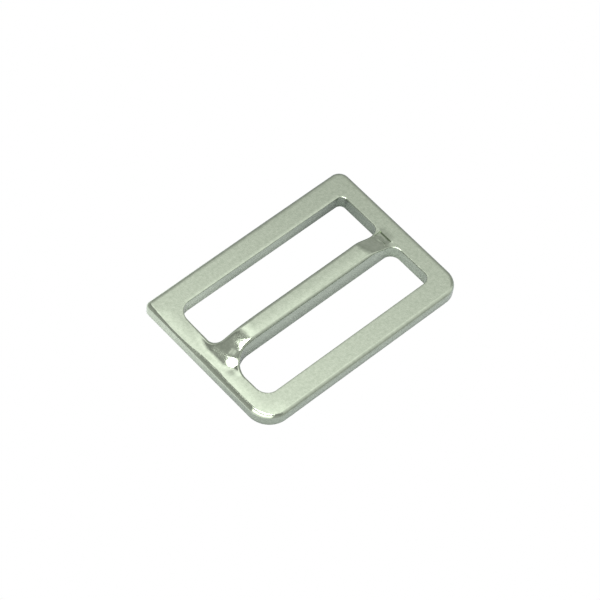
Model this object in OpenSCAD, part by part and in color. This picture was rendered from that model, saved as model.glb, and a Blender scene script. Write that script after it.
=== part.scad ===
// Webbing adjuster buckle: an oblong plated metal frame with two webbing slots
// and a raised centre bar, all in one piece. Millimetres, lying flat.
// +X runs along the slots, +Y across them and +Z up. The origin is at the middle
// of the underside. Left and right are -X and +X, near and far are -Y and +Y.

/* [Frame] */
// Length over the two end rails
frame_l = 55; // [52:0.5:62]
// Width over the two long rails
frame_w = 38.2; // [37:0.2:46]
// Thickness of the flat rails
frame_t = 3.5; // [3.2:0.1:4.2]
// Width of each long rail, near and far
long_rail_w = 5.4; // [4.6:0.1:6]
// Width of each end rail, left and right
end_rail_w = 4.5; // [3.8:0.1:5]
// Radius worn along the frame's upper outer edge
top_edge_r = 0.9; // [0.4:0.1:1.2]
// Radius worn along the frame's lower outer edge
foot_edge_r = 1.0; // [0.4:0.1:1.2]

/* [Outer corners] */
// Plan radius of the near left corner
near_left_r = 5.4; // [2:0.1:6]
// Plan radius of the near right corner
near_right_r = 4.5; // [2:0.1:6]
// Plan radius of the far right corner
far_right_r = 2.5; // [1.3:0.1:6]
// Plan radius of the far left corner
far_left_r = 1.3; // [1.3:0.1:6]

/* [Slot corners] */
// Corner radius of the slots at the near left
slot_near_left_r = 2.8; // [0.8:0.1:3]
// Corner radius of the slots at the near right
slot_near_right_r = 1.7; // [0.8:0.1:3]
// Corner radius of the slots at the far right
slot_far_right_r = 1.4; // [0.8:0.1:3]
// Corner radius of the slots at the far left
slot_far_left_r = 3.0; // [0.8:0.1:3]

/* [Centre bar] */
// Width of the bar
bar_w = 4.5; // [3.6:0.1:5]
// How far the bar's middle line lies towards the near rail
bar_shift = 0.15; // [0:0.05:0.4]
// Height of the bar's top above the underside
bar_top_z = 5.3; // [5:0.1:5.6]
// Radius along the bar's two upper edges
shoulder_r = 0.95; // [0.5:0.05:1.2]
// Fillet where the bar's near side runs into the left end rail
root_near_left_r = 5.3; // [1.5:0.1:6]
// Fillet where the bar's near side runs into the right end rail
root_near_right_r = 2.3; // [1.5:0.1:4]
// Fillet where the bar's far side runs into the left end rail
root_far_left_r = 2.3; // [1.5:0.1:4]
// Fillet where the bar's far side runs into the right end rail
root_far_right_r = 1.8; // [1.5:0.1:4]

/* [Ramps] */
// Slope of the left ramp, in degrees
left_slope = 22; // [16:1:26]
// Bend radius at the left ramp's head and foot
left_bend_r = 4; // [3:0.1:5]
// How far the left ramp's foot reaches over the left end rail
left_overrun = 0.9; // [0.6:0.1:1.8]
// Slope of the right ramp, in degrees
right_slope = 35; // [28:1:38]
// Bend radius at the right ramp's head and foot
right_bend_r = 2.6; // [2.5:0.1:3]
// Flat floor left between the right ramp's foot and the right end rail
right_floor_l = 1.3; // [0.8:0.1:1.8]
// Step from that floor up to the rail's top
right_step = 0.3; // [0.2:0.05:0.4]

/* [Hidden] */
$fn = 72;

half_l = frame_l / 2;
half_w = frame_w / 2;
slot_x = half_l - end_rail_w;
slot_y = half_w - long_rail_w;
bar_near_y = -bar_shift - bar_w / 2;
bar_far_y = -bar_shift + bar_w / 2;

// Height inside the flat bar at which its raised part starts
raised_base_z = frame_t - 1;
right_foot_z = frame_t - right_step;
// Each ramp's foot ends this far under the surface that it runs into
foot_sink = 0.02;
// Length that a cut runs past the metal
past = 1;

// Length in plan of a ramp: two equal bends with a straight stretch between them
function straight_l(drop, slope, bend_r) = (drop - 2 * bend_r * (1 - cos(slope))) / sin(slope);
function ramp_run(drop, slope, bend_r) =
    2 * bend_r * sin(slope) + straight_l(drop, slope, bend_r) * cos(slope);

// Distance of each ramp's foot and head from the middle of the bar
left_foot_x = slot_x + left_overrun;
right_foot_x = slot_x - right_floor_l;
left_head_x = left_foot_x - ramp_run(bar_top_z - frame_t + foot_sink, left_slope, left_bend_r);
right_head_x = right_foot_x - ramp_run(bar_top_z - right_foot_z + foot_sink, right_slope, right_bend_r);

// Waste outside a quarter round, in the corner at the origin, pointing to +x and +y
module corner_waste(r) {
    difference() {
        translate([-past, -past]) square(r + past);
        translate([r, r]) circle(r);
    }
}

// The same waste, with its corner at a point and turned towards the inside of the shape
module waste_at(point, turn, r) {
    translate(point) mirror([turn[0] < 0 ? 1 : 0, 0]) mirror([0, turn[1] < 0 ? 1 : 0])
        corner_waste(r);
}

// Section through the flat frame: both outer edges are rounded, above and below
module plate_section(width) {
    difference() {
        translate([-width / 2, 0]) square([width, frame_t]);
        for (side = [-1, 1]) {
            waste_at([side * width / 2, frame_t], [-side, -1], top_edge_r);
            waste_at([side * width / 2, 0], [-side, 1], foot_edge_r);
        }
    }
}

// Section from a rounded corner's centre out to its edge
module corner_section(r) {
    difference() {
        square([r, frame_t]);
        waste_at([r, frame_t], [-1, -1], top_edge_r);
        waste_at([r, 0], [-1, 1], foot_edge_r);
    }
}

// Each outer corner as its sides along X and Y, its plan radius and where its quarter turn starts
outer_corners = [
    [-1, -1, near_left_r, 180],
    [1, -1, near_right_r, 270],
    [1, 1, far_right_r, 0],
    [-1, 1, far_left_r, 90]
];

// The oblong blank with its edges rounded all round
module blank() {
    difference() {
        intersection() {
            rotate([90, 0, 90]) linear_extrude(frame_l, center = true) plate_section(frame_w);
            rotate([90, 0, 0]) linear_extrude(frame_w, center = true) plate_section(frame_l);
        }
        for (c = outer_corners)
            translate([c[0] * (half_l + (past - c[2]) / 2), c[1] * (half_w + (past - c[2]) / 2), frame_t / 2])
                cube([c[2] + past, c[2] + past, frame_t + 2 * past], center = true);
    }
    for (c = outer_corners)
        translate([c[0] * (half_l - c[2]), c[1] * (half_w - c[2]), 0])
            rotate([0, 0, c[3]]) rotate_extrude(angle = 90) corner_section(c[2]);
}

// Plan of a webbing slot between two heights of y; radii run near left, near right, far right, far left
module slot_plan(y0, y1, radii) {
    difference() {
        translate([-slot_x, y0]) square([2 * slot_x, y1 - y0]);
        waste_at([-slot_x, y0], [1, 1], radii[0]);
        waste_at([slot_x, y0], [-1, 1], radii[1]);
        waste_at([slot_x, y1], [-1, -1], radii[2]);
        waste_at([-slot_x, y1], [1, -1], radii[3]);
    }
}

// Both slots, with the fillets of the bar's ends
module slots() {
    translate([0, 0, -past]) linear_extrude(frame_t + 2 * past) {
        slot_plan(-slot_y, bar_near_y,
            [slot_near_left_r, slot_near_right_r, root_near_right_r, root_near_left_r]);
        slot_plan(bar_far_y, slot_y,
            [root_far_left_r, root_far_right_r, slot_far_right_r, slot_far_left_r]);
    }
}

// Shallow floor under the right ramp and its foot, cut across the bar
module right_floor() {
    translate([right_head_x, bar_near_y, right_foot_z])
        cube([slot_x - right_head_x, bar_w, right_step + past]);
}

// Side view of half of the raised bar, from its middle down a ramp to the foot
module half_side_view(head_x, foot_x, foot_z, slope, bend_r) {
    bend_x = bend_r * sin(slope);
    bend_z = bend_r * (1 - cos(slope));
    difference() {
        union() {
            polygon([
                [0, raised_base_z],
                [0, bar_top_z],
                [head_x, bar_top_z],
                [head_x + bend_x, bar_top_z - bend_z],
                [foot_x - bend_x, foot_z + bend_z],
                [foot_x, foot_z],
                [foot_x, raised_base_z]
            ]);
            intersection() {
                translate([head_x, bar_top_z - bend_r]) circle(bend_r);
                translate([0, raised_base_z]) square([foot_x, bar_top_z - raised_base_z]);
            }
        }
        translate([foot_x, foot_z + bend_r]) circle(bend_r);
    }
}

module side_view() {
    half_side_view(right_head_x, right_foot_x, right_foot_z - foot_sink, right_slope, right_bend_r);
    mirror([1, 0]) half_side_view(left_head_x, left_foot_x, frame_t - foot_sink, left_slope, left_bend_r);
}

// Section across the raised bar, with both shoulders rounded
module bar_section() {
    difference() {
        translate([bar_near_y, raised_base_z]) square([bar_w, bar_top_z - raised_base_z]);
        waste_at([bar_near_y, bar_top_z], [1, -1], shoulder_r);
        waste_at([bar_far_y, bar_top_z], [-1, -1], shoulder_r);
    }
}

// The raised upper half of the bar, from one ramp's foot to the other
module raised_bar() {
    intersection() {
        translate([0, bar_far_y, 0]) rotate([90, 0, 0]) linear_extrude(bar_w) side_view();
        rotate([90, 0, 90]) linear_extrude(2 * half_l, center = true) bar_section();
    }
}

module adjuster_frame() {
    color("silver") union() {
        difference() {
            blank();
            slots();
            right_floor();
        }
        raised_bar();
    }
}

adjuster_frame();
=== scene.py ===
# Webbing adjuster buckle: one plated metal frame with two webbing slots and a raised
# centre bar, lying flat on a pale floor. Sizes are in millimetres, and MM turns them into metres.
from math import atan2, cos, degrees, hypot, radians, sin

import bmesh
import bpy
from mathutils import Matrix, Vector


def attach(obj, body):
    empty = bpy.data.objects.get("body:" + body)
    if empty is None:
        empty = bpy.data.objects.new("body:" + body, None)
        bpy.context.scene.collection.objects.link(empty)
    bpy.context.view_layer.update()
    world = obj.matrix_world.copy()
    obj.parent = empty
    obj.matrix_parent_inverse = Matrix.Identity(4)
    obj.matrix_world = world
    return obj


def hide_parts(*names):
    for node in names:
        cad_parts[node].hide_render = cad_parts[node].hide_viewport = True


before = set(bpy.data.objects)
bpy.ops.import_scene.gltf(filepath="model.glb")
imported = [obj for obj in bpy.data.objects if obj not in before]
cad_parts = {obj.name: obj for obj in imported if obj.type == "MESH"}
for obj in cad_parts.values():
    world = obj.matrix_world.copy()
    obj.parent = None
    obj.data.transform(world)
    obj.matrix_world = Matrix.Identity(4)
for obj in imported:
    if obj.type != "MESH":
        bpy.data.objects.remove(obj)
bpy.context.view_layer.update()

# The blank. A flat oblong plate of zinc-plated steel, cut from strip 3.5 mm thick. Its four
# corners are rounded by hand after cutting, and no two of them have the same radius.
MM = 0.001
THICK = 3.5
HALF_LENGTH, HALF_WIDTH = 27.5, 19.1
NEAR_LEFT, NEAR_RIGHT, FAR_RIGHT, FAR_LEFT = (-1, -1), (1, -1), (1, 1), (-1, 1)
NEAR_LEFT_RADIUS = 5.4
CORNER_CUTS = 22
HAIR = 1e-4


def open_for_edit(piece, kind):
    """Opens the piece in edit mode with nothing selected."""
    bpy.ops.object.mode_set(mode="OBJECT")
    bpy.ops.object.select_all(action="DESELECT")
    piece.select_set(True)
    bpy.context.view_layer.objects.active = piece
    bpy.ops.object.mode_set(mode="EDIT")
    bpy.ops.mesh.select_mode(type=kind)
    bpy.ops.mesh.select_all(action="DESELECT")


def pick(piece, kind, test):
    """Selects the shown vertices or edges that pass the test, which gets places in millimetres."""
    mesh = bmesh.from_edit_mesh(piece.data)
    for part in getattr(mesh, kind):
        if not part.hide:
            corners = [part.co / MM] if kind == "verts" else [v.co / MM for v in part.verts]
            if test(*corners):
                part.select_set(True)
    mesh.select_flush_mode()
    bmesh.update_edit_mesh(piece.data)


def plate(name, x_range, y_range, z_range, radii):
    """An upright block with its four corners rounded in plan."""
    bpy.ops.object.select_all(action="DESELECT")
    centre = [sum(ends) / 2 * MM for ends in (x_range, y_range, z_range)]
    size = [(ends[1] - ends[0]) * MM for ends in (x_range, y_range, z_range)]
    bpy.ops.mesh.primitive_cube_add(size=1, location=centre, scale=size)
    made = bpy.context.object
    made.name = made.data.name = name
    bpy.ops.object.transform_apply(location=True, rotation=True, scale=True)
    for (side_x, side_y), radius in radii.items():
        corner_x = x_range[side_x > 0]
        corner_y = y_range[side_y > 0]
        open_for_edit(made, "EDGE")
        pick(made, "edges", lambda a, b: max(
            abs(a.x - corner_x), abs(b.x - corner_x), abs(a.y - corner_y), abs(b.y - corner_y)) < HAIR)
        bpy.ops.mesh.bevel(offset=radius * MM, offset_type="OFFSET", segments=CORNER_CUTS,
                           affect="EDGES", clamp_overlap=False)
        bpy.ops.object.mode_set(mode="OBJECT")
    return made


buckle = plate("plated_frame", (-HALF_LENGTH, HALF_LENGTH), (-HALF_WIDTH, HALF_WIDTH), (0, THICK),
               {NEAR_LEFT: NEAR_LEFT_RADIUS, NEAR_RIGHT: 4.5, FAR_RIGHT: 2.5, FAR_LEFT: 1.3})

# The two webbing slots. They are punched through the plate side by side, and what is left
# between them is the centre bar. The punch wore, so its corners are uneven.
SLOT_END = 23
RAIL_INNER = 13.7
BAR_NEAR, BAR_FAR = -2.4, 2.1
NEAR_FILLET, FAR_FILLET = 5.3, 2.3
PUNCH_TRAVEL = (-1, THICK + 1)


def punch(name, y_range, radii):
    """Cuts one slot through the plate."""
    tool = plate(name, (-SLOT_END, SLOT_END), y_range, PUNCH_TRAVEL, radii)
    bpy.ops.object.select_all(action="DESELECT")
    buckle.select_set(True)
    bpy.context.view_layer.objects.active = buckle
    cut = buckle.modifiers.new(name, "BOOLEAN")
    cut.operation, cut.solver, cut.object = "DIFFERENCE", "EXACT", tool
    bpy.ops.object.modifier_apply(modifier=name)
    bpy.data.meshes.remove(tool.data)


punch("near_slot", (-RAIL_INNER, BAR_NEAR),
      {NEAR_LEFT: 2.8, NEAR_RIGHT: 1.7, FAR_RIGHT: 2.3, FAR_LEFT: NEAR_FILLET})
punch("far_slot", (BAR_FAR, RAIL_INNER),
      {NEAR_LEFT: FAR_FILLET, NEAR_RIGHT: 1.8, FAR_RIGHT: 1.4, FAR_LEFT: 3.0})

# Cut lines along the outlines, so that the edges' radii can change along them. They lie closest
# where the edge is nibbled: at the slots' right ends and on the far half of the left end rail.
CUTS_ALONG = [-21.1, -19.6, -18.2, -16.6, -15, -13.4, -11.8, 14, 15.5, 17, 18.5, 20]
CUTS_ACROSS = [-11.9, -10.6, -9.4, -8.2, -7, -5.8, -4.6, -3.4, -2, -0.6, 0.8, 2.2, 3.4, 5, 6.6, 8.2, 9.8,
               11.4, 12.4, 13.4, 14.2, 15, 15.8, 16.45]
RIGHT_NIBBLES, NIBBLE_PITCH = 12.6, 0.45
LEFT_NIBBLES = [2.5, 3, 4, 4.5, 5.5, 6, 7, 7.5, 8.8, 9.3, 10.3, 10.8, 12]
FILLETS_END = 4.1
BESIDE = 0.1
KNIFE_EDGE = 1e-5


def is_wall(face):
    """Whether a face stands upright."""
    return abs(face.normal.z) < 0.5


def middle(face):
    """Middle of a face, in millimetres."""
    return face.calc_center_median() / MM


def steps(start, end, pitch):
    """Places from start to end, a pitch apart."""
    return [start + pitch * n for n in range(round((end - start) / pitch) + 1)]


def slice_at(places, axis, test=lambda face: True):
    """Adds a line of edges round the faces that pass the test, at each place along X (0) or Y (1)."""
    normal = (1, 0, 0) if axis == 0 else (0, 1, 0)
    open_for_edit(buckle, "FACE")
    for place in places:
        mesh = bmesh.from_edit_mesh(buckle.data)
        for face in mesh.faces:
            face.select_set(test(face))
        bmesh.update_edit_mesh(buckle.data)
        bpy.ops.mesh.bisect(plane_co=[place * MM * n for n in normal], plane_no=normal,
                            threshold=KNIFE_EDGE * MM)


slice_at(CUTS_ALONG, axis=0, test=is_wall)
slice_at(CUTS_ACROSS, axis=1, test=is_wall)
slice_at([y for y in steps(-RIGHT_NIBBLES, RIGHT_NIBBLES, NIBBLE_PITCH) if abs(y) > FILLETS_END], axis=1,
         test=lambda face: is_wall(face) and abs(middle(face).x - SLOT_END) < BESIDE)
slice_at(LEFT_NIBBLES, axis=1, test=lambda face: is_wall(face) and middle(face).x < BESIDE - HALF_LENGTH)

# A ring of edges inside each outline, on which the roundings can end. The left end rail has the
# widest roll, so its ring lies further in.
RING, WIDE_RING = 1.28, 1.75
ROLL_NEAR, ROLL_FAR = -13.5, 15.9
open_for_edit(buckle, "FACE")
mesh = bmesh.from_edit_mesh(buckle.data)
for face in mesh.faces:
    face.select_set(not is_wall(face))
bmesh.update_edit_mesh(buckle.data)
bpy.ops.mesh.inset(thickness=RING * MM, depth=0, use_even_offset=True, use_boundary=True)
open_for_edit(buckle, "VERT")
pick(buckle, "verts", lambda p: abs(p.x + HALF_LENGTH - RING) < 0.01 and ROLL_NEAR < p.y < ROLL_FAR
     and p.z > THICK / 2)
bpy.ops.transform.translate(value=((WIDE_RING - RING) * MM, 0, 0))

# The edges. The punch and the tumbling barrel rounded them: a full radius all round the outside,
# a wide roll at the near left where the plate was drawn down, full shoulders on the bar and a hair
# on the rest of the slots.
WIDEST = 1.7
OUTER_EDGE, FAR_LEFT_EDGE, FOOT_EDGE = 0.85, 1.05, 1.0
CORNER_EDGE, CORNER_LOSS, CORNER_TURN = 1.24, 0.4, (30, 52)
SLOT_EDGE, ROOT_EDGE, SHOULDER = 0.16, 0.6, 0.95
FAR_SHOULDER = 0.17
NIBBLED_SLOT_EDGE = 0.24
NIBBLED_EDGE = 0.45
# Each change in the left outer edge's radius, with the Y where it begins and the Y where it is full
LEFT_EDGE_CHANGES = [(0.85, 7.4, 0.6), (-0.5, 0, -10), (0.4, -10.5, -13.5), (0.6, 13, 16.8)]
CORNER_X, CORNER_Y = NEAR_LEFT_RADIUS - HALF_LENGTH, NEAR_LEFT_RADIUS - HALF_WIDTH
NEAR_ROOT = (NEAR_FILLET - SLOT_END, BAR_NEAR - NEAR_FILLET)
FAR_ROOT = (FAR_FILLET - SLOT_END, BAR_FAR + FAR_FILLET)


def ease(value, start, end):
    """0 before start and 1 after end, with a smooth change between them."""
    share = min(1, max(0, (value - start) / (end - start)))
    return share * share * (3 - 2 * share)


def nibbles(y, deep, fine):
    """Uneven change of a radius along Y, from two waves, each with its depth and its pace."""
    return deep[0] * sin(deep[1] * y) + fine[0] * sin(fine[1] * y)


def outer_top_radius(x, y):
    """Radius of the upper outer edge at a point of the outline."""
    if x < CORNER_X and y < CORNER_Y:
        turn = degrees(atan2(CORNER_Y - y, CORNER_X - x))
        return CORNER_EDGE - CORNER_LOSS * ease(turn, *CORNER_TURN)
    if x < 0.5 - HALF_LENGTH:
        uneven = nibbles(y, (0.1, 4.1), (0.08, 6.7)) * ease(y, 1.5, 3) * ease(y, 14, 12.5)
        return NIBBLED_EDGE + uneven + sum(change * ease(y, *run) for change, *run in LEFT_EDGE_CHANGES)
    if x < -22 and y > 13:
        return FAR_LEFT_EDGE
    far_rail = ease(-x, 15, 22) if y > 19 else 0
    return OUTER_EDGE + (FAR_LEFT_EDGE - OUTER_EDGE) * far_rail


def grown(full, share):
    """Radius that has grown from a slot's plain edge towards a full one by a share."""
    return SLOT_EDGE + (full - SLOT_EDGE) * share


def slot_top_radius(x, y):
    """Radius of a slot's upper edge at a point of the outline."""
    left_end, right_end = x < BESIDE - SLOT_END, x > SLOT_END - BESIDE
    if right_end and abs(y) > 4:
        return NIBBLED_SLOT_EDGE + nibbles(y, (0.09, 4.6), (0.05, 7.3))
    if y < BAR_NEAR - BESIDE:
        if x < NEAR_ROOT[0] and y > NEAR_ROOT[1]:
            return ROOT_EDGE
        return grown(ROOT_EDGE, ease(y, -10.5, -8) if left_end else 0)
    if y < -0.15 and x < 0:
        return SHOULDER - (SHOULDER - ROOT_EDGE) * ease(-x, 13, 18)
    if x < FAR_ROOT[0] + BESIDE and y < FAR_ROOT[1] + BESIDE:
        return SHOULDER
    if left_end and y < 13:
        return grown(SHOULDER, ease(y, 7, 5))
    if y < BAR_FAR + BESIDE and x < 20.4:
        return grown(SHOULDER + FAR_SHOULDER if y > 0 else SHOULDER, ease(x, 18.5, 13.5))
    return SLOT_EDGE


def edge_radius(place):
    """Radius of the edge between a flat face and a wall, at a point of the outline."""
    outside = abs(place.x) > SLOT_END + 1 or abs(place.y) > RAIL_INNER + 1
    if place.z < THICK / 2:
        return FOOT_EDGE if outside else SLOT_EDGE
    return outer_top_radius(place.x, place.y) if outside else slot_top_radius(place.x, place.y)


open_for_edit(buckle, "EDGE")
mesh = bmesh.from_edit_mesh(buckle.data)
radii = {}
for edge in mesh.edges:
    upright = sorted(abs(face.normal.z) for face in edge.link_faces)
    if upright[0] < 0.5 < upright[1]:
        radii[edge.index] = round(edge_radius((edge.verts[0].co + edge.verts[1].co) / 2 / MM), 2)
for radius in sorted(set(radii.values())):
    bpy.ops.mesh.select_all(action="DESELECT")
    mesh = bmesh.from_edit_mesh(buckle.data)
    mesh.edges.ensure_lookup_table()
    for index, wanted in radii.items():
        if wanted == radius:
            mesh.edges[index].select_set(True)
    bmesh.update_edit_mesh(buckle.data)
    bpy.ops.transform.edge_bevelweight(value=radius / WIDEST)
bpy.ops.object.mode_set(mode="OBJECT")
rounding = buckle.modifiers.new("rounding", "BEVEL")
rounding.limit_method, rounding.width, rounding.segments = "WEIGHT", WIDEST * MM, 10
rounding.offset_type, rounding.use_clamp_overlap = "OFFSET", False
bpy.ops.object.modifier_apply(modifier="rounding")

# The raised bar. It stands above the rails between two ramps, a long skewed one at the left that
# runs on over the end rail and a short steep one at the right. It is drawn up in small strokes,
# each a little further along, so that the ramps bend softly at the head and at the foot.
LIFT = 1.8
LEFT_STROKES, RIGHT_STROKES = 14, 9
LEFT_HEAD, HEAD_BEND, HEAD_POWER = -20.903, 6.129, 0.787
LEFT_FOOT, FOOT_BEND, FOOT_POWER = -22.39, 3.43, 0.684
NOSE_CORNER, NOSE_CURVE, NOSE_TAIL = -0.75, 0.13, 1.18
RIGHT_HEAD, RIGHT_RUN, RIGHT_BEND, RIGHT_SKEW = 16.95, 3.8, 0.9, -0.3
DIP, DIP_REACH = -0.13, 1.9
RAMP_ALONG, RAMP_ACROSS = (-25.4, -13), (-8, 4)
NEAR_CLEAR, FAR_CLEAR = 0.5, 1.0

# Cut lines over the whole plate, closest on the ramps, so that the metal can bend
slice_at(steps(-27.17, -14.0, 0.37) + steps(-13.4, 13.6, 0.9) + steps(14.3, 27.2, 0.43), axis=0)
slice_at(steps(-18.83, -9.6, 0.77) + steps(-9.15, 8.6, 0.41) + steps(9.13, 18.9, 0.77), axis=1)


def hide_where(test):
    """Hides the vertices that pass the test and shows all the others."""
    bpy.ops.mesh.reveal(select=False)
    bpy.ops.mesh.select_all(action="DESELECT")
    pick(buckle, "verts", test)
    bpy.ops.mesh.hide(unselected=False)
    bpy.ops.mesh.select_all(action="DESELECT")


def lift(test, rise, reach, fall="LINEAR"):
    """Moves the picked points up, and what lies within reach of them by a falling share."""
    bpy.ops.mesh.select_all(action="DESELECT")
    pick(buckle, "verts", test)
    bpy.ops.transform.translate(value=(0, 0, rise * MM), use_proportional_edit=True,
                                proportional_edit_falloff=fall, proportional_size=reach * MM,
                                use_proportional_connected=False, use_proportional_projected=False)


def on_bar(p):
    """Whether a point lies between the bar's two long sides."""
    return BAR_NEAR - BESIDE < p.y < BAR_FAR + BESIDE


def nose(y, share):
    """How far a stroke's line curves back at the near side of the bar, at a share of the strokes."""
    return NOSE_CURVE * (1 + NOSE_TAIL * share) * max(0, NOSE_CORNER - y) ** 2


def by_left_ramp(p):
    """Whether a point lies on the left ramp or by its foot, inside the rounded edges."""
    if not (RAMP_ALONG[0] < p.x < RAMP_ALONG[1] and RAMP_ACROSS[0] < p.y < RAMP_ACROSS[1]):
        return False
    clear_near, clear_far = p.y > BAR_NEAR + NEAR_CLEAR, p.y < BAR_FAR - FAR_CLEAR
    if p.x < NEAR_ROOT[0]:
        clear_near = hypot(p.x - NEAR_ROOT[0], p.y - NEAR_ROOT[1]) > NEAR_FILLET + NEAR_CLEAR
    if p.x < FAR_ROOT[0]:
        clear_far = hypot(p.x - FAR_ROOT[0], p.y - FAR_ROOT[1]) > FAR_FILLET + FAR_CLEAR
    return clear_near and clear_far


# The left ramp, with a small dip of the rail by the near side of its foot
open_for_edit(buckle, "VERT")
hide_where(lambda p: p.z < THICK - WIDEST - BESIDE or p.x > 0)
for stroke in range(LEFT_STROKES):
    share = stroke / (LEFT_STROKES - 1)
    head = LEFT_HEAD + HEAD_BEND * share ** HEAD_POWER
    foot = LEFT_FOOT - FOOT_BEND * share ** FOOT_POWER
    lift(lambda p: p.x > head + nose(p.y, share) and on_bar(p), LIFT / LEFT_STROKES, head - foot)
lift(lambda p: p.x > -24.1 and -4.4 < p.y < -3.9, DIP, DIP_REACH, "SHARP")
bpy.ops.mesh.select_all(action="DESELECT")
pick(buckle, "verts", by_left_ramp)
bpy.ops.mesh.vertices_smooth_laplacian(repeat=12, lambda_factor=0.6, lambda_border=0,
                                       use_x=False, use_y=False, preserve_volume=False)

# The right ramp
hide_where(lambda p: p.z < THICK - SHOULDER - BESIDE or p.x <= 0)
for stroke in steps(-RIGHT_BEND, RIGHT_BEND, 2 * RIGHT_BEND / (RIGHT_STROKES - 1)):
    lift(lambda p: p.x < RIGHT_HEAD + stroke + RIGHT_SKEW * p.y and on_bar(p),
         LIFT / RIGHT_STROKES, RIGHT_RUN)

# The pocket. The press left it between the right ramp's foot and the end rail. It has a low ridge
# across it, and beyond its sharp end the rail swells a little.
POCKET_END = 23.05
# The rise of each move, with how far it reaches
SINK, DEEPER, RIDGE, SWELL = (-0.2, 0.7), (-0.1, 1.4), (0.09, 0.35), (0.045, 1.0)


def by_pocket(face):
    """Whether a face is a level one in the pocket or beside it."""
    place = middle(face)
    return face.normal.z > 0.9 and 20.5 < place.x < 24.5 and abs(place.y) < 2.6


bpy.ops.mesh.reveal(select=False)
slice_at([21.25, 21.5, POCKET_END - 0.01, POCKET_END + 0.02], axis=0, test=by_pocket)
slice_at([-1.72, -1.69, 1.71, 1.74], axis=1, test=by_pocket)
open_for_edit(buckle, "VERT")
hide_where(lambda p: not (20.9 < p.x < POCKET_END and -1.7 < p.y < 1.72 and p.z > THICK - 0.5))
lift(lambda p: p.x > 21.7 and p.y > -1.1, *SINK)
lift(lambda p: p.x > 22.95 and p.y > -1.0, *DEEPER)
lift(lambda p: 21.2 < p.x < 21.55 and p.y < 0.8, *RIDGE)
hide_where(lambda p: p.x < POCKET_END + 0.01 or p.x > 25)
lift(lambda p: p.x < POCKET_END + 0.03 and -1.2 < p.y < 1.6, *SWELL)

# The crown. Tumbling wore the left end rail towards its outer edge, most on its near half, and the
# top of the bar towards its near edge.
CROWNED = 0.95
# The rise of each move, with how far it reaches
RAIL_CROWN, NEAR_CROWN, BAR_CROWN = (-0.05, 2.8), (-0.03, 2.4), (-0.04, 2.2)


def inset(p):
    """How far a point lies inside the outline, round the near left corner."""
    if p.x < CORNER_X and p.y < CORNER_Y:
        return NEAR_LEFT_RADIUS - hypot(p.x - CORNER_X, p.y - CORNER_Y)
    return min(p.x + HALF_LENGTH, p.y + HALF_WIDTH)


hide_where(lambda p: p.z < 1.2 or p.z > THICK + 0.8)
lift(lambda p: inset(p) < CROWNED and p.y < 14 and p.x < -23, *RAIL_CROWN, "SHARP")
lift(lambda p: inset(p) < CROWNED and -12 < p.y < -2 and p.x < -23, *NEAR_CROWN, "SHARP")
hide_where(lambda p: p.z < THICK + 0.3)
lift(lambda p: p.y < BAR_NEAR + SHOULDER, *BAR_CROWN, "SHARP")
bpy.ops.mesh.reveal(select=False)

# Points that fell together are merged
TOGETHER = 0.002
bpy.ops.mesh.select_all(action="SELECT")
bpy.ops.mesh.remove_doubles(threshold=TOGETHER * MM)
bpy.ops.mesh.dissolve_degenerate(threshold=TOGETHER * MM)
bpy.ops.mesh.select_all(action="DESELECT")
bpy.ops.object.mode_set(mode="OBJECT")
bpy.ops.object.shade_smooth_by_angle(angle=radians(35))

# The plating. Zinc over the steel, satin and a little green, with a fine tumbled grain. The
# patterns are given as spots per metre.
MOTTLE, SMUDGE, GRAIN = 1400, 900, 2600
GRAIN_DEPTH = 0.03 * MM
DARK_ZINC, LIGHT_ZINC = (0.405, 0.46, 0.362, 1), (0.49, 0.545, 0.437, 1)
plating = bpy.data.materials.new("zinc_plating")
plating.use_nodes = True
nodes, links = plating.node_tree.nodes, plating.node_tree.links
metal = nodes["Principled BSDF"]
metal.inputs["Metallic"].default_value = 1.0
place = nodes.new("ShaderNodeTexCoord")


def feed(socket, source):
    """Links a socket to another node's output, or sets it to a plain value."""
    if isinstance(source, bpy.types.NodeSocket):
        links.new(source, socket)
    else:
        socket.default_value = source


def noise(scale, detail):
    """Spots of light and dark over the piece."""
    pattern = nodes.new("ShaderNodeTexNoise")
    pattern.inputs["Scale"].default_value = scale
    pattern.inputs["Detail"].default_value = detail
    links.new(place.outputs["Object"], pattern.inputs["Vector"])
    return pattern.outputs["Fac"]


def remap(value, low, high, to_low=0, to_high=1):
    """Stretches a value from one range to another, and holds it there."""
    remapped = nodes.new("ShaderNodeMapRange")
    for name, number in (("From Min", low), ("From Max", high), ("To Min", to_low), ("To Max", to_high)):
        remapped.inputs[name].default_value = number
    links.new(value, remapped.inputs["Value"])
    return remapped.outputs["Result"]


def blend_colours(share, plain, other):
    """Goes from the plain colour to the other one as the share goes from 0 to 1."""
    mixed = nodes.new("ShaderNodeMix")
    mixed.data_type = "RGBA"
    links.new(share, mixed.inputs["Factor"])
    feed(mixed.inputs["A"], plain)
    feed(mixed.inputs["B"], other)
    return mixed.outputs["Result"]


tint = blend_colours(remap(noise(MOTTLE, 4), 0.3, 0.7), DARK_ZINC, LIGHT_ZINC)
links.new(tint, metal.inputs["Base Color"])
links.new(remap(noise(SMUDGE, 3), 0.3, 0.7, 0.09, 0.12), metal.inputs["Roughness"])
grain = nodes.new("ShaderNodeBump")
grain.inputs["Strength"].default_value = 0.13
grain.inputs["Distance"].default_value = GRAIN_DEPTH
links.new(noise(GRAIN, 3), grain.inputs["Height"])
links.new(grain.outputs["Normal"], metal.inputs["Normal"])
buckle.data.materials.clear()
buckle.data.materials.append(plating)

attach(buckle, "root")
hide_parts("adjuster_frame")

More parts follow.
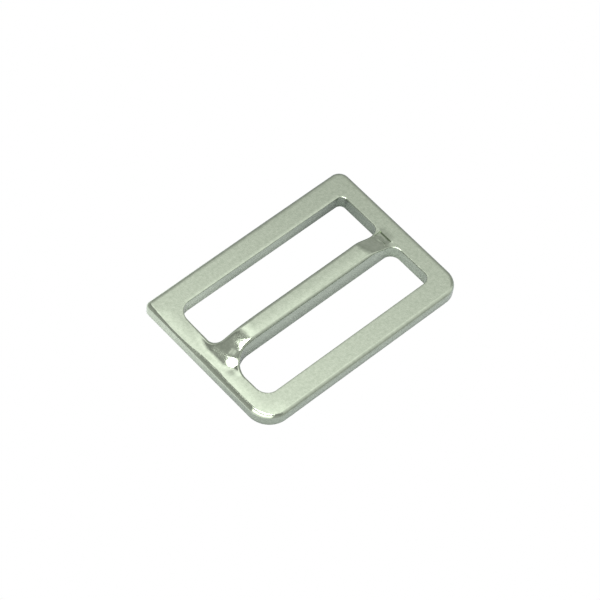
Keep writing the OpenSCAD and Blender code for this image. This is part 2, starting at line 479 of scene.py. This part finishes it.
# The floor, a pale sheet a hair below the buckle. The camera sees it burnt out to white, as in a
# bright light tent. It is clear from beneath and to very short rays, so that the underside can be
# looked at. The buckle mirrors it, and its colour has painted light, lighter to the far left, and
# painted shade, darker to the far right.
FLOOR_RADIUS, FLOOR_GAP = 900, 0.02
BARE_SHEET, PAINTED_LIGHT_SHEET, PAINTED_SHADE_SHEET = (0.6, 0.61, 0.65, 1), (0.93, 0.94, 0.97, 1), (0.32, 0.33, 0.36, 1)
FAR_LEFT_WAY, FAR_RIGHT_WAY = (-0.707, 0.707, 0), (0.707, 0.707, 0)
bpy.ops.object.select_all(action="DESELECT")
bpy.ops.mesh.primitive_circle_add(vertices=96, radius=FLOOR_RADIUS * MM, fill_type="NGON",
                                  location=(0, 0, -FLOOR_GAP * MM))
floor = bpy.context.object
floor.name = "floor"
paper = bpy.data.materials.new("white_paper")
paper.use_nodes = True
nodes, links = paper.node_tree.nodes, paper.node_tree.links
sheet = nodes["Principled BSDF"]
sheet.inputs["Roughness"].default_value = 0.9
sheet.inputs["Specular IOR Level"].default_value = 0
spot = nodes.new("ShaderNodeTexCoord")


def lean(source, axis):
    """How far a place or a direction lies along an axis."""
    dot = nodes.new("ShaderNodeVectorMath")
    dot.operation = "DOT_PRODUCT"
    dot.inputs[1].default_value = axis
    links.new(source, dot.inputs[0])
    return dot.outputs["Value"]


def combine(kind, a, b):
    """Joins two values by one sum."""
    node = nodes.new("ShaderNodeMath")
    node.operation = kind
    feed(node.inputs[0], a)
    feed(node.inputs[1], b)
    return node.outputs["Value"]


def blend_shaders(share, plain, other):
    """Goes from the plain shader to the other one as the share goes from 0 to 1."""
    mixed = nodes.new("ShaderNodeMixShader")
    links.new(share, mixed.inputs["Fac"])
    links.new(plain, mixed.inputs[1])
    links.new(other, mixed.inputs[2])
    return mixed.outputs["Shader"]


# Painted light on the floor towards the far left and painted shade towards the far right, which the
# buckle mirrors
lighter = remap(lean(spot.outputs["Object"], FAR_LEFT_WAY), 14 * MM, 28 * MM)
darker = remap(lean(spot.outputs["Object"], FAR_RIGHT_WAY), 13 * MM, 26 * MM)
shade = blend_colours(darker, blend_colours(lighter, BARE_SHEET, PAINTED_LIGHT_SHEET), PAINTED_SHADE_SHEET)
links.new(shade, sheet.inputs["Base Color"])
burnt = nodes.new("ShaderNodeEmission")
burnt.inputs["Color"].default_value = (1, 1, 1, 1)
burnt.inputs["Strength"].default_value = 1.0
clear = nodes.new("ShaderNodeBsdfTransparent")
seen = nodes.new("ShaderNodeLightPath")
facing = nodes.new("ShaderNodeNewGeometry")
touching = combine("LESS_THAN", seen.outputs["Ray Length"], 0.1 * MM)
front = blend_shaders(seen.outputs["Is Camera Ray"], sheet.outputs["BSDF"], burnt.outputs["Emission"])
see_through = combine("MAXIMUM", facing.outputs["Backfacing"], touching)
two_sided = blend_shaders(see_through, front, clear.outputs["BSDF"])
links.new(two_sided, nodes["Material Output"].inputs["Surface"])
floor.data.materials.append(paper)

# The overhead lamp, a round soft light near the zenith. It makes the two white spots on the left
# ramp and the inner half of the long one on the near left corner.
LAMP_OFF, LAMP_SIZE, LAMP_ENERGY = 900, 290, 2.5
lamp_way = Vector((0.057, 0.149, 0.987)).normalized()
lamp = bpy.data.lights.new("overhead_lamp", "AREA")
lamp.shape, lamp.size = "DISK", LAMP_SIZE * MM
lamp.energy = LAMP_ENERGY
lamp_holder = bpy.data.objects.new("overhead_lamp", lamp)
lamp_holder.location = lamp_way * (LAMP_OFF * MM)
lamp_holder.rotation_mode = "QUATERNION"
lamp_holder.rotation_quaternion = lamp_way.to_track_quat("Z", "Y")
bpy.context.scene.collection.objects.link(lamp_holder)

# The light tent. A dim room with a wide soft box at the far right, which the flat tops mirror, a
# window at the near left, which makes the outer half of the long spot, and a faint sheet at the left.
MOST = 2.5
UP, LEFT, FAR = (0, 0, 1), (-1, 0, 0), (0, 1, 0)
BOX_WAY, BOX_RIM = (0.81, 0.59, 0), (0.966, 0, -0.259)
WINDOW_NEAR_RIM, WINDOW_FAR_RIM = (-0.669, 0.743, 0), (0.119, -0.993, 0)
tent = bpy.data.worlds.new("light_tent")
tent.use_nodes = True
nodes, links = tent.node_tree.nodes, tent.node_tree.links
sky = nodes["Background"]
way = nodes.new("ShaderNodeTexCoord")


def graded(axis, stops):
    """A brightness, at most MOST, that changes with how far a direction leans along an axis."""
    ramp_node = nodes.new("ShaderNodeValToRGB")
    ramp = ramp_node.color_ramp
    while len(ramp.elements) < len(stops):
        ramp.elements.new(0.5)
    for stop, (at, bright) in zip(ramp.elements, stops):
        stop.position = (at + 1) / 2
        stop.color = (bright / MOST,) * 3 + (1,)
    links.new(remap(lean(way.outputs["Generated"], axis), -1, 1), ramp_node.inputs["Fac"])
    return combine("MULTIPLY", ramp_node.outputs["Color"], MOST)


room = graded(UP, [(-1, 0.5), (0, 0.45), (0.4, 0.45), (0.7, 0.35), (0.85, 0.3), (1, 0.4)])
box_glow = graded(BOX_WAY, [(0.3, 1.6), (0.42, 1.65), (0.455, 1.55), (0.5226, 1.1), (0.5426, 0.89),
                            (0.593, 0.475), (0.8, 0.1)])
box_side = graded(BOX_RIM, [(-0.03, 0), (0.04, 1)])
box_end = graded(FAR, [(-0.96, 0.05), (-0.88, 0.09), (-0.75, 0.17), (-0.55, 0.36), (-0.15, 0.48),
                       (0.08, 0.52), (0.2, 0.7), (0.3, 1)])
box = combine("MULTIPLY", box_glow, combine("MULTIPLY", box_side, box_end))
window_near = graded(WINDOW_NEAR_RIM, [(-0.3, 0), (-0.2, 1)])
window_far = graded(WINDOW_FAR_RIM, [(-0.33, 0), (-0.29, 1)])
window_top = graded(UP, [(0.2, 0.7), (0.42, 1), (0.54, 2.3), (0.92, 2.3), (0.948, 0)])
window_side = graded(LEFT, [(0.05, 0), (0.2, 1)])
window = combine("MULTIPLY", combine("MULTIPLY", window_top, window_side),
                 combine("MULTIPLY", window_near, window_far))
left_sheet = graded(LEFT, [(-0.2, 0), (0, 0.13), (0.3, 0.16), (0.85, 0.14)])
total = combine("ADD", combine("ADD", room, left_sheet), combine("ADD", box, window))

# The camera sees plain white all round
seen = nodes.new("ShaderNodeLightPath")
pale = nodes.new("ShaderNodeMix")
pale.data_type = "FLOAT"
links.new(seen.outputs["Is Camera Ray"], pale.inputs["Factor"])
links.new(total, pale.inputs["A"])
pale.inputs["B"].default_value = 1.0
links.new(pale.outputs["Result"], sky.inputs["Strength"])
sky.inputs["Color"].default_value = (1, 1, 1, 1)
bpy.context.scene.world = tent
bpy.context.scene.view_settings.view_transform = "Standard"

# The camera, a long lens looking down over the near left corner. Its centre lies a few pixels off
# the middle of the picture.
AZIMUTH, ELEVATION, ROLL = radians(-49.3861), radians(56.323), radians(8.7886)
FAR_OFF = 597.4266
PIXELS, FOCAL_PIXELS = 600, 2868.27
CENTRE_X, CENTRE_Y = 3.5792, 2.9194
look = Vector((-sin(AZIMUTH) * cos(ELEVATION), cos(AZIMUTH) * cos(ELEVATION), -sin(ELEVATION)))
level = Vector((cos(AZIMUTH), sin(AZIMUTH), 0))
rise = level.cross(look)
across = cos(ROLL) * level + sin(ROLL) * rise
upward = cos(ROLL) * rise - sin(ROLL) * level
camera = bpy.data.cameras.new("camera")
camera.sensor_width = 36
camera.lens = FOCAL_PIXELS / PIXELS * camera.sensor_width
camera.shift_x, camera.shift_y = -CENTRE_X / PIXELS, CENTRE_Y / PIXELS
camera.clip_start, camera.clip_end = 0.01, 10
view_from = bpy.data.objects.new("camera", camera)
turn = Matrix((across, upward, -look)).transposed().to_4x4()
view_from.matrix_world = Matrix.Translation(-look * FAR_OFF * MM) @ turn
bpy.context.scene.collection.objects.link(view_from)
bpy.context.scene.camera = view_from
